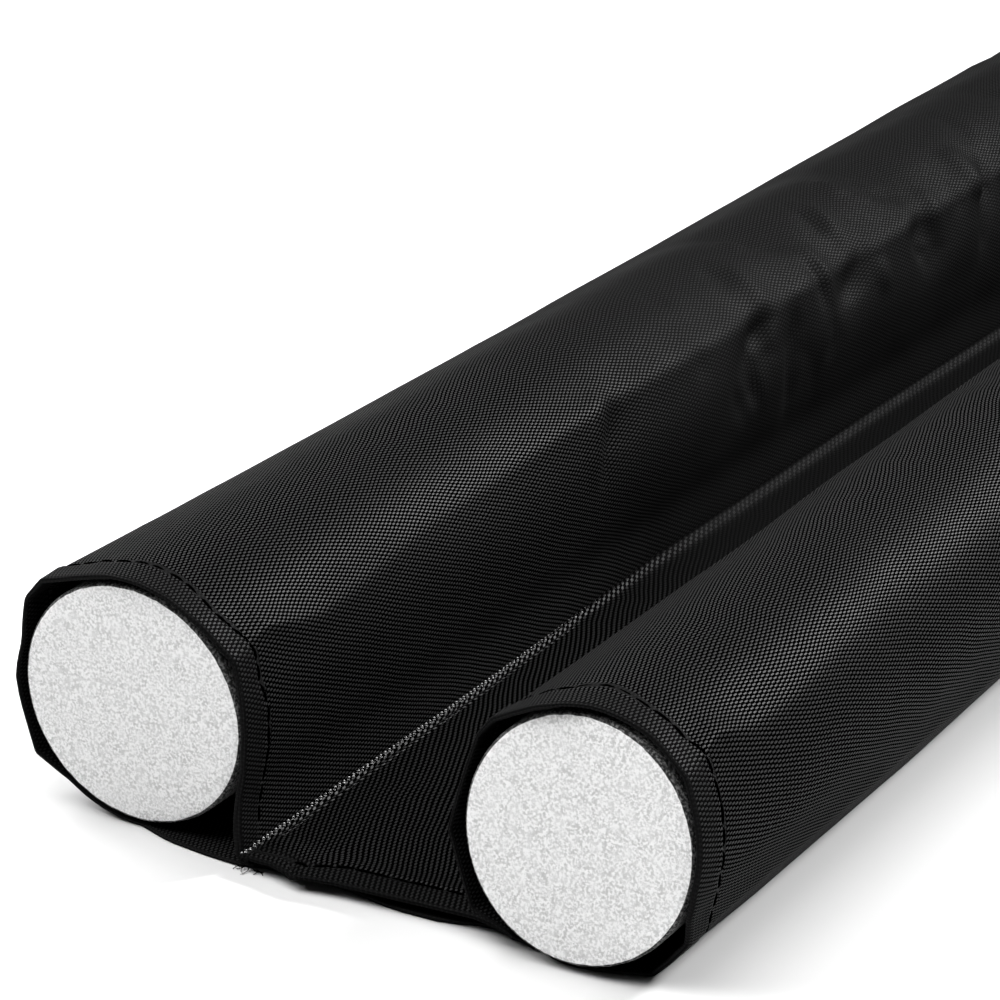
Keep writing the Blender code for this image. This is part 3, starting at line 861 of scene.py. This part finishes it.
def build_hem_stitches(strip, name, first, last, material):
    """The dark stitching of both hems between two columns; its near-black thread also paints the shade in the
    stitching's groove.
    """
    shape = bmesh.new()
    chance = random.Random(HEM_SEED)
    run = strip.across[first:last + 1] - strip.across[first]
    for far in (False, True):
        at = HEM_STITCH_START
        while at + HEM_STITCH_LENGTH < run[-1]:
            length = HEM_STITCH_LENGTH * chance.uniform(*HEM_LENGTH_VARIES)
            slant = chance.uniform(-HEM_SLANT, HEM_SLANT)
            points = []
            for share in HEM_SHARES:
                column = first + np.interp(at + share * length, run, np.arange(len(run)))
                stitch = np.interp(column, np.arange(strip.columns), strip.stitch)
                distance = (CORE_LENGTH - FAR_STITCH) if far else stitch
                distance += slant * (share - 0.5)
                out = HEM_THREAD_LIFT + HEM_THREAD_ARCH * math.sin(math.pi * share)
                point = strip.above(distance, column, out)
                points.append((point[0], point[1], max(point[2], HEM_THREAD / 2)))
            add_thread(shape, points, HEM_THREAD / 2)
            at += HEM_STITCH_PITCH * chance.uniform(*HEM_PITCH_VARIES)
    return finish_piece(shape, name, [material])


def build_seam_stitches(strip, name, material):
    """Small slanted stitches along the folded edge of the upper web layer."""
    shape = bmesh.new()
    chance = random.Random(SEAM_SEED)
    at = SEAM_START
    starts = []
    while at < CORE_LENGTH - SEAM_END:
        starts.append((at, *SEAM_ROWS[0]))
        starts.append((at + SEAM_STITCH_PITCH / 2, *SEAM_ROWS[1]))
        if at < DOUBLED_UNTIL:
            starts.append((at + SEAM_STITCH_PITCH / 4, *SEAM_ROWS[2]))
        at += SEAM_STITCH_PITCH * chance.uniform(*SEAM_PITCH_VARIES)
    for at, first, reach in starts:
        sunk = ease(at, *STITCHES_SINK)
        slant = SEAM_SLANT + chance.uniform(-SEAM_SLANT_VARIES, SEAM_SLANT_VARIES)
        points = []
        for share in SEAM_SHARES:
            out = SEAM_ARCH * math.sin(math.pi * share) - SUNK_BY * sunk
            points.append(strip.above(at + slant * share, first + reach * share, out))
        add_thread(shape, points, SEAM_THREAD / 2, FINE_THREAD_SIDES)
    return finish_piece(shape, name, [material])


FRAYS = (
    # start x, distance, z; direction in degrees from -Y towards +X; length; curl
    (-14.6, -2.0, 0.35, -20, 1.6, 1.3), (-14.0, -2.2, 0.25, 25, 1.9, -1.2), (-13.4, -2.2, 0.30, 60, 1.5, 1.4),
    (-15.2, -1.9, 0.25, -55, 1.5, 1.2), (-12.8, -2.0, 0.20, 40, 1.3, -1.5), (-13.9, -2.2, 0.2, 75, 2.2, 0.9),
    (-13.0, -2.1, 0.2, 85, 1.8, -0.9), (-14.9, -2.0, 0.2, 5, 1.2, -1.6),
)
FRAY_THREAD = 0.11
FRAY_STEPS = 7
FRAY_SINKS = 1 / 9      # share of its height that a fray loses at each step
FRAY_LEAST_HEIGHT = 0.08


def build_frays(name, material):
    """Loose threads of the raw corner at the foot of the left mouth."""
    shape = bmesh.new()
    for x, distance, z, heading, length, curl in FRAYS:
        points = []
        turn = math.radians(heading)
        px, py = x, NEAR_Y + distance
        for step in range(FRAY_STEPS + 1):
            points.append((px, py, max(z * (1 - step * FRAY_SINKS), FRAY_LEAST_HEIGHT)))
            px += length / FRAY_STEPS * math.sin(turn)
            py -= length / FRAY_STEPS * math.cos(turn)
            turn += curl / FRAY_STEPS
        add_thread(shape, points, FRAY_THREAD / 2, FINE_THREAD_SIDES)
    return finish_piece(shape, name, [material])


# --- Materials ---

def grey(value):
    """A colour of equal parts."""
    return (value, value, value)


class Nodes:
    """A new material, and short forms for building its node tree."""

    def __init__(self, name, colour, roughness, specular):
        """The values hold wherever no node takes their place."""
        self.material = bpy.data.materials.new(name)
        self.material.use_nodes = True
        self.tree = self.material.node_tree
        self.shader = self.tree.nodes["Principled BSDF"]
        self.fill(self.shader, {"Base Color": colour, "Roughness": roughness, "Specular IOR Level": specular})

    def add(self, kind):
        """A new node."""
        return self.tree.nodes.new("ShaderNode" + kind)

    def put(self, socket, value):
        """Give a socket a number or a colour, or link an output to it."""
        if isinstance(value, tuple):
            socket.default_value = (*value, 1.0)
        elif isinstance(value, (int, float)):
            socket.default_value = value
        else:
            self.tree.links.new(value, socket)

    def fill(self, node, inputs, output=0):
        """Give a node its inputs, and return one of its outputs."""
        for socket, value in inputs.items():
            self.put(node.inputs[socket], value)
        return node.outputs[output]

    def math(self, operation, *values):
        """A sum, product or other function of the values."""
        node = self.add("Math")
        node.operation = operation
        return self.fill(node, dict(enumerate(values)))

    def smoothstep(self, value, low, high, out_low=0.0, out_high=1.0):
        """From one value up to low, easing to the other at high."""
        node = self.add("MapRange")
        node.interpolation_type = "SMOOTHSTEP"
        return self.fill(node, {
            "Value": value, "From Min": low, "From Max": high, "To Min": out_low, "To Max": out_high,
        })

    def noise(self, place, scale, detail=2.0, roughness=0.5):
        """Soft noise from 0 to 1."""
        inputs = {"Vector": place, "Scale": scale, "Detail": detail, "Roughness": roughness}
        return self.fill(self.add("TexNoise"), inputs, "Fac")

    def about_half(self, value, contrast):
        """The value's distance from a half, times the contrast."""
        return self.math("MULTIPLY", self.math("SUBTRACT", value, 0.5), contrast)

    def towards_middle(self, value, contrast):
        """The value, drawn towards a half where the contrast is below 1."""
        return self.math("ADD", self.about_half(value, contrast), 0.5)

    # The Mix node takes numbers at its sockets 2 and 3 and colours at 6 and 7, and gives a colour at output 2
    def mix(self, share, first, second):
        """A number between two others."""
        return self.fill(self.add("Mix"), {0: share, 2: first, 3: second})

    def mix_colour(self, share, first, second):
        """A colour between two others."""
        node = self.add("Mix")
        node.data_type = "RGBA"
        return self.fill(node, {0: share, 6: first, 7: second}, 2)

    def bump(self, height, strength, depth):
        """The surface's normal, tilted by a height of up to the depth in millimetres."""
        inputs = {"Height": height, "Strength": strength, "Distance": depth * MM}
        return self.fill(self.add("Bump"), inputs)


# Painted sheen and shade of the weave: the threads on top are painted lighter than the yarn's own black, and
# the threads beneath and the gaps between threads near black
GAP_SHADE_COLOUR = grey(0.0001)
WARP_SHADE_COLOUR = grey(0.0003)
WEFT_COLOUR_WITH_SHEEN = (0.026, 0.026, 0.0264)
WEB_WEFT_SHADED_COLOUR = (0.014, 0.014, 0.0142)    # a darker copy of the weft's colour: painted shade on the web
CLOTH_SPECULAR = 0.5
CLOTH_IOR = 1.12
WANDER_SCALE = 0.045    # the threads' slow drift: scale of its noise, and its reach in mm
WANDER = 1.6
WEFT_SHOWS = (-0.22, 0.50)      # between these the cross threads come out on top
THREAD_ROUND = 0.8      # powers that shape a thread across itself and where it dives
THREAD_DIVES = 0.5
WARP_HEIGHT = 0.8       # of the threads along the sleeve, against the cross threads
# Painted shade in the gaps between threads: below these heights the colour goes near black
GAP_SHADE_HEIGHTS = (0.05, 0.6)       # heights at which the dark gaps start to fill and are full
# The threads beneath lose almost all reflection to their metallic share and black specular tint: painted
# shade
WARP_METALLIC = 0.92
WARP_ROUGHNESS = 0.86
WEFT_ROUGHNESS = 0.42
PATCH_SCALE = 0.12      # patches of rougher and smoother cloth: scale of their noise, and its reach
PATCH_DETAIL = 3.0
PATCH_ROUGHNESS = 0.12
WEAVE_BUMP = (0.75, 0.03)       # strength, depth in mm


def weave_material(side):
    """Black plain weave, drawn thread by thread from the UV map, with painted sheen on the threads on top and
    painted shade on those beneath and in the gaps; side is a sleeve's, or "web".
    """
    across_pitch, along_pitch, skew = WEAVE[side]
    build = Nodes(side + "_black_woven_cloth", WEFT_COLOUR_WITH_SHEEN, WEFT_ROUGHNESS, CLOTH_SPECULAR)
    uv_map = build.add("UVMap")
    uv_map.uv_map = "Threads"
    uv = uv_map.outputs["UV"]
    split = build.add("SeparateXYZ")
    build.put(split.inputs["Vector"], uv)
    x, y = split.outputs["X"], split.outputs["Y"]

    # Where each point lies between the threads
    wander = build.about_half(build.noise(uv, WANDER_SCALE), WANDER)
    u = build.math("MULTIPLY", build.math("ADD", x, wander), math.pi / across_pitch)
    skewed = build.math("MULTIPLY_ADD", x, skew, build.math("ADD", y, wander))
    v = build.math("MULTIPLY", skewed, math.pi / along_pitch)
    wave_u = build.math("SINE", u)
    wave_v = build.math("SINE", v)
    warp = build.math("ABSOLUTE", wave_u)
    weft = build.math("ABSOLUTE", wave_v)
    parity = build.math("MULTIPLY", wave_u, wave_v)
    if side == "web":
        between = build.math("MULTIPLY", build.math("COSINE", u), build.math("COSINE", v))
        parity = build.math("MULTIPLY_ADD", between, -SLANTED_ROWS, parity)
    weft_over = build.smoothstep(parity, *WEFT_SHOWS)

    # The pressed hem shows less of its weave, and the turned edge at the mouth hardly any
    at_edge = build.smoothstep(y, *EDGE_ENDS, EDGE_WEAVE, 1.0)
    at_hem = build.smoothstep(y, *HEM_ENDS, HEM_WEAVE, 1.0)
    contrast = build.math("MULTIPLY", at_edge, at_hem)
    if side != "right":
        softened = build.smoothstep(y, *WEAVE_SOFTENS, 1.0, SOFT_WEAVE[side])
        contrast = build.math("MULTIPLY", contrast, softened)
    weft_over = build.towards_middle(weft_over, contrast)

    def thread_height(across_it, along_it):
        """Height of a thread, from how near its middle and its crest a point lies."""
        rounded = build.math("POWER", across_it, THREAD_ROUND)
        return build.math("MULTIPLY", rounded, build.math("POWER", along_it, THREAD_DIVES))

    warp_height = build.math("MULTIPLY", thread_height(warp, weft), WARP_HEIGHT)
    height = build.mix(weft_over, warp_height, thread_height(weft, warp))
    # Painted sheen on the threads on top and painted shade on the threads beneath
    thread = build.mix_colour(weft_over, WARP_SHADE_COLOUR, WEB_WEFT_SHADED_COLOUR if side == "web" else WEFT_COLOUR_WITH_SHEEN)
    # Painted shade in the low places between the threads
    clear_of_gap_shade = build.towards_middle(build.smoothstep(height, *GAP_SHADE_HEIGHTS), contrast)
    rough = build.math("MULTIPLY_ADD", weft_over, WEFT_ROUGHNESS - WARP_ROUGHNESS, WARP_ROUGHNESS)
    patches = build.about_half(build.noise(uv, PATCH_SCALE, PATCH_DETAIL), PATCH_ROUGHNESS)

    # Painted shade: the threads beneath and the holes between them are near black and give nothing back
    build.fill(build.shader, {
        "IOR": CLOTH_IOR,
        "Base Color": build.mix_colour(clear_of_gap_shade, GAP_SHADE_COLOUR, thread),
        "Metallic": build.math("MULTIPLY_ADD", weft_over, -WARP_METALLIC, WARP_METALLIC),
        "Specular Tint": build.mix_colour(weft_over, grey(0.0), grey(1.0)),
        "Roughness": build.math("ADD", rough, patches),
        "Normal": build.bump(height, *WEAVE_BUMP),
    })
    return build.material


FOAM_COLOUR = grey(0.80)
FOAM_CLEAR = (grey(0.46), grey(0.79))       # dark and light of the speckles where they are clear
FOAM_FAINT = (grey(0.60), grey(0.77))       # and where they are faint
# Painted shade in the foam's pits: a darker grey round each cell's point
FOAM_PIT_SHADE = grey(0.50)
# Painted shade on the foam's side and the rounded edges of its faces: dark grey with lighter flecks
SIDE_SHADE_COLOUR = grey(0.1)
SIDE_SHADE_SPECKLES = (grey(0.012), grey(0.16))
FOAM_ROUGH = 0.85
FOAM_SPECULAR = 0.2
FOAM_FINE = (2600.0, 2.0, 0.6)      # noise of the speckles: scale, detail, roughness
FOAM_COARSE = (700.0, 2.0, 0.5)     # and of the patches where they are fainter
FOAM_SPECKLES = (0.38, 0.62)
FOAM_PATCHES = (0.3, 0.7)
FOAM_CELLS = 1500.0     # scale of the cells, and how far from a cell's point the painted shade of its pit reaches
FOAM_PIT_SHADE_REACH = (0.02, 0.18)
FOAM_BUMP = (0.35, 0.12)        # strength, depth in mm
SIDE_SHADE_FLECKS = (0.42, 0.66)


def foam_material():
    """Pale closed-cell foam with fine grey speckles, and painted shade in its pits."""
    build = Nodes("pale_speckled_foam", FOAM_COLOUR, FOAM_ROUGH, FOAM_SPECULAR)
    place = build.add("TexCoord").outputs["Object"]
    fine = build.noise(place, *FOAM_FINE)
    speckle = build.smoothstep(fine, *FOAM_SPECKLES)
    clear = build.mix_colour(speckle, *FOAM_CLEAR)
    faint = build.mix_colour(speckle, *FOAM_FAINT)
    patches = build.smoothstep(build.noise(place, *FOAM_COARSE), *FOAM_PATCHES)
    cells = build.fill(build.add("TexVoronoi"), {"Scale": FOAM_CELLS, "Vector": place}, "Distance")
    # Painted shade in the pits round the cells' points
    pit_shade = build.smoothstep(cells, *FOAM_PIT_SHADE_REACH)
    build.fill(build.shader, {
        "Base Color": build.mix_colour(pit_shade, FOAM_PIT_SHADE, build.mix_colour(patches, clear, faint)),
        "Normal": build.bump(fine, *FOAM_BUMP),
    })
    return build.material


def foam_side_shade_material():
    """Painted shade on the foam's side and the rounded edges of its faces: dark grey, mottled with lighter
    flecks.
    """
    build = Nodes("mottled_foam_side_shade", SIDE_SHADE_COLOUR, FOAM_ROUGH, FOAM_SPECULAR)
    fine = build.noise(build.add("TexCoord").outputs["Object"], *FOAM_FINE)
    flecks = build.smoothstep(fine, *SIDE_SHADE_FLECKS)
    build.fill(build.shader, {"Base Color": build.mix_colour(flecks, *SIDE_SHADE_SPECKLES)})
    return build.material


# The dark thread is near black and gives back almost nothing, so that the hem stitching also paints the shade
# in its groove: real stitches with painted shade
DARK_THREAD_AND_GROOVE_SHADE = (grey(0.0002), 0.9)       # colour, roughness
PALE_THREAD = (grey(0.60), 0.6)
THREAD_SPECULAR = 0.1
THREAD_IOR = 1.05
THREAD_FIBRES = 4000.0
THREAD_DARK = 0.45      # of its colour, where the fibre noise is low and where it is high
THREAD_LIGHT = 1.5


def thread_material(name, colour, roughness):
    """Twisted sewing thread."""
    build = Nodes(name, colour, roughness, THREAD_SPECULAR)
    fibre = build.noise(build.add("TexCoord").outputs["Object"], THREAD_FIBRES)
    dark = tuple(value * THREAD_DARK for value in colour)
    light = tuple(min(value * THREAD_LIGHT, 1.0) for value in colour)
    build.fill(build.shader, {"IOR": THREAD_IOR, "Base Color": build.mix_colour(fibre, dark, light)})
    return build.material


# --- Stage ---

def build_camera():
    """The camera at the photograph's place."""
    camera = bpy.data.cameras.new("Camera")
    camera.lens = CAMERA_LENS
    camera.sensor_width = SENSOR
    camera.clip_start, camera.clip_end = CAMERA_SEES
    holder = link("Camera", camera)
    holder.location = [value * MM for value in CAMERA_PLACE]
    holder.rotation_euler = (math.radians(90.0 - CAMERA_ELEVATION), 0.0, math.radians(CAMERA_AZIMUTH))
    bpy.context.scene.camera = holder


LIGHT_AIM = (-15.0, -390.0, 30.0)       # the point that every light faces, in mm
LIGHTS = (
    # name, angle up from +X in a section, angle towards the far end, distance in m, side in m, irradiance
    ("near_key", 52.0, 50.0, 0.55, 0.16, 0.8),
    ("back_left", 140.0, 20.0, 1.5, 0.80, 2.75),
    ("top_left", 118.0, 5.0, 1.6, 1.00, 0.8),
    ("top", 95.0, -12.0, 1.6, 1.20, 3.0),
    ("left_front", 128.0, -24.0, 1.8, 0.80, 2.2),
)
SPOT = ("near_spot", 52.0, 50.0, 1.8, 0.22, 19.0, 290.0)   # as above, with its radius, cone and watts
WORLD_STRENGTH = 0.03


def place_light(light, name, angle, tilt, distance):
    """Hang a lamp at the angle and tilt from the aim, facing it."""
    angle, tilt = math.radians(angle), math.radians(tilt)
    away = Vector((math.cos(angle) * math.cos(tilt), math.sin(tilt), math.sin(angle) * math.cos(tilt)))
    holder = link(name, light)
    holder.location = Vector(LIGHT_AIM) * MM + away * distance
    holder.rotation_euler = away.to_track_quat("Z", "Y").to_euler()
    holder.visible_camera = False


def add_area_light(name, angle, tilt, distance, side, irradiance):
    """A square light that gives the irradiance at the aim."""
    light = bpy.data.lights.new(name, "AREA")
    light.shape = "SQUARE"
    light.size = side
    light.energy = irradiance * math.pi * distance * distance
    place_light(light, name, angle, tilt, distance)


def add_spot(name, angle, tilt, distance, radius, cone, power):
    """A soft spot that falls off away from the near mouths."""
    light = bpy.data.lights.new(name, "SPOT")
    light.energy = power
    light.spot_size = math.radians(cone)
    light.spot_blend = 1.0
    light.shadow_soft_size = radius
    place_light(light, name, angle, tilt, distance)


FLOOR_SIZE = 8.0        # in metres
FLOOR_DROP = 0.05       # below the cloth, so that the two faces don't meet
FLOOR_COLOUR = grey(0.59)
FLOOR_ROUGHNESS = 0.9


def build_stage():
    """The floor, the lights and the world."""
    bpy.ops.mesh.primitive_plane_add(size=FLOOR_SIZE, location=(0.0, 0.0, -FLOOR_DROP * MM))
    floor = bpy.context.active_object
    floor.name = "floor"
    floor.data.materials.append(Nodes("plain_floor", FLOOR_COLOUR, FLOOR_ROUGHNESS, 0.0).material)
    world = bpy.data.worlds.new("Studio")
    world.use_nodes = True
    background = world.node_tree.nodes["Background"]
    background.inputs["Color"].default_value = (1.0, 1.0, 1.0, 1.0)
    background.inputs["Strength"].default_value = WORLD_STRENGTH
    bpy.context.scene.world = world
    for row in LIGHTS:
        add_area_light(*row)
    add_spot(*SPOT)
    bpy.context.scene.view_settings.view_transform = "Standard"


# --- The object ---


def build_object():
    """Every piece, with what it rides on and what it replaces."""
    weave = {side: weave_material(side) for side in WEAVE}
    foam = (foam_material(), foam_side_shade_material())
    dark_thread_and_groove_shade = thread_material("dark_thread_and_groove_shade", *DARK_THREAD_AND_GROOVE_SHADE)
    pale_thread = thread_material("pale_thread", *PALE_THREAD)
    left_ring = slice(len(LEFT_WEB), len(LEFT_WEB) + len(LEFT_RING))
    right_start = len(RIDGE) + len(RIGHT_WEB) - 1
    right_ring = slice(right_start, right_start + len(RIGHT_RING))
    left_count = len(LEFT_WEB) + len(LEFT_RING) + len(TUCK)
    right_count = right_ring.stop + len(UNDER_TUCK)
    left_soft = np.arange(left_count) >= left_ring.stop
    right_soft = np.arange(right_count) < len(RIDGE)
    left = Strip("left", left_section, left_ring, left_soft)
    right = Strip("right", right_section, right_ring, right_soft)
    pieces = {
        "left": build_strip(left, "left_woven_sleeve", [weave["left"]]),
        "right": build_strip(right, "right_woven_sleeve", [weave["right"], weave["web"]], right_ring.start),
    }
    cores = {side: build_core(side, foam) for side in SIDES}
    hem_stitches = {}
    for name, strip, start, stop in (("left", left, left_ring.start, left_ring.stop),
                                     ("right", right, right_ring.start, right_ring.stop),
                                     ("web", right, len(RIDGE), right_ring.start)):
        first, last = start + HEM_GAPS[name][0], stop - HEM_GAPS[name][1]
        hem_stitches[name] = build_hem_stitches(strip, name + "_hem_stitches", first, last, dark_thread_and_groove_shade)
    seam = build_seam_stitches(right, "seam_stitches", pale_thread)
    frays = build_frays("frayed_threads", dark_thread_and_groove_shade)
    for piece in (*hem_stitches.values(), seam, frays):
        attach(piece, "root")
    for side, strip, extra in (("left", left, [hem_stitches["left"], frays]),
                               ("right", right, [hem_stitches["right"], hem_stitches["web"], seam])):
        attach(pieces[side], "root")
        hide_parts(side + "_sleeve")
        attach(cores[side], "root")
        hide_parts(side + "_core")


build_object()
build_camera()
build_stage()
